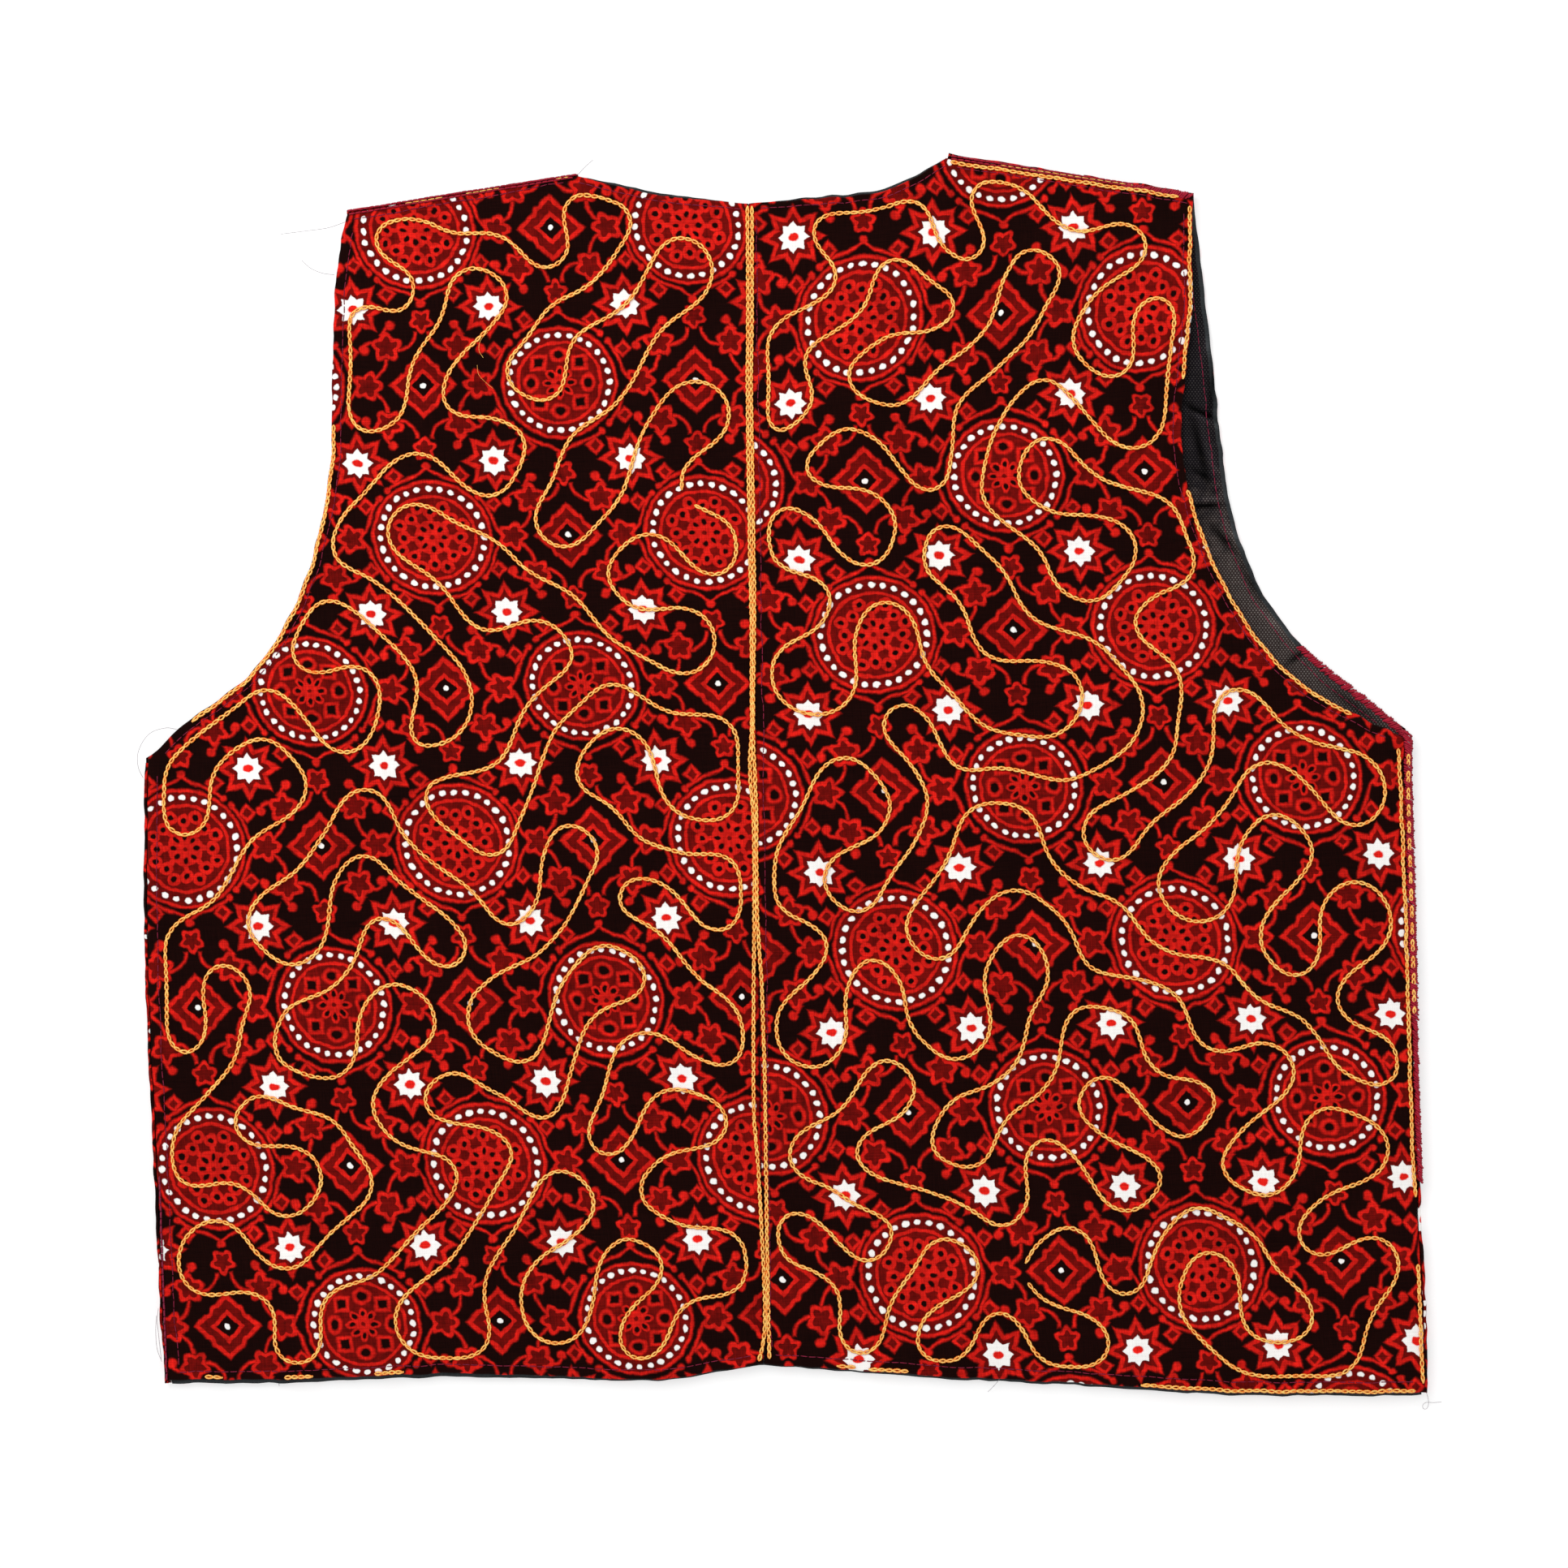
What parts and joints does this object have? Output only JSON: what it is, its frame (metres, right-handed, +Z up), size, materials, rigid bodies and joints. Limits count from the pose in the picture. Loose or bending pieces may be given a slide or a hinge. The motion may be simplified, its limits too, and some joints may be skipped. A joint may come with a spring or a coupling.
{
  "type": "folk vest",
  "caption": "Waist-length sleeveless folk vest of block-printed cotton with a dark lining, laid flat with its back up.",
  "frame": {"origin": "on the floor under the middle of the vest's bounding box", "axes": "+Z up through the cloth, +Y towards the neck, +X towards the wearer's right side"},
  "size_m": [0.5286, 0.5107, 0.0075],
  "materials": {
    "printed_cotton": "plain-woven cotton block-printed in black, bright red and maroon with white dots and stars",
    "dark_lining": "thin black woven lining with small pale pin dots",
    "chain_thread": "thick golden-orange thread worked in chain stitch",
    "seam_thread": "thin crimson sewing thread, in running stitch and overcast edges"
  },
  "bodies": {
    "root": {"back_left": "printed_cotton", "back_right": "printed_cotton", "front_left": "printed_cotton", "front_right": "printed_cotton", "lining_back": "dark_lining", "lining_front_left": "dark_lining", "lining_front_right": "dark_lining"}
  },
  "joints": []
}
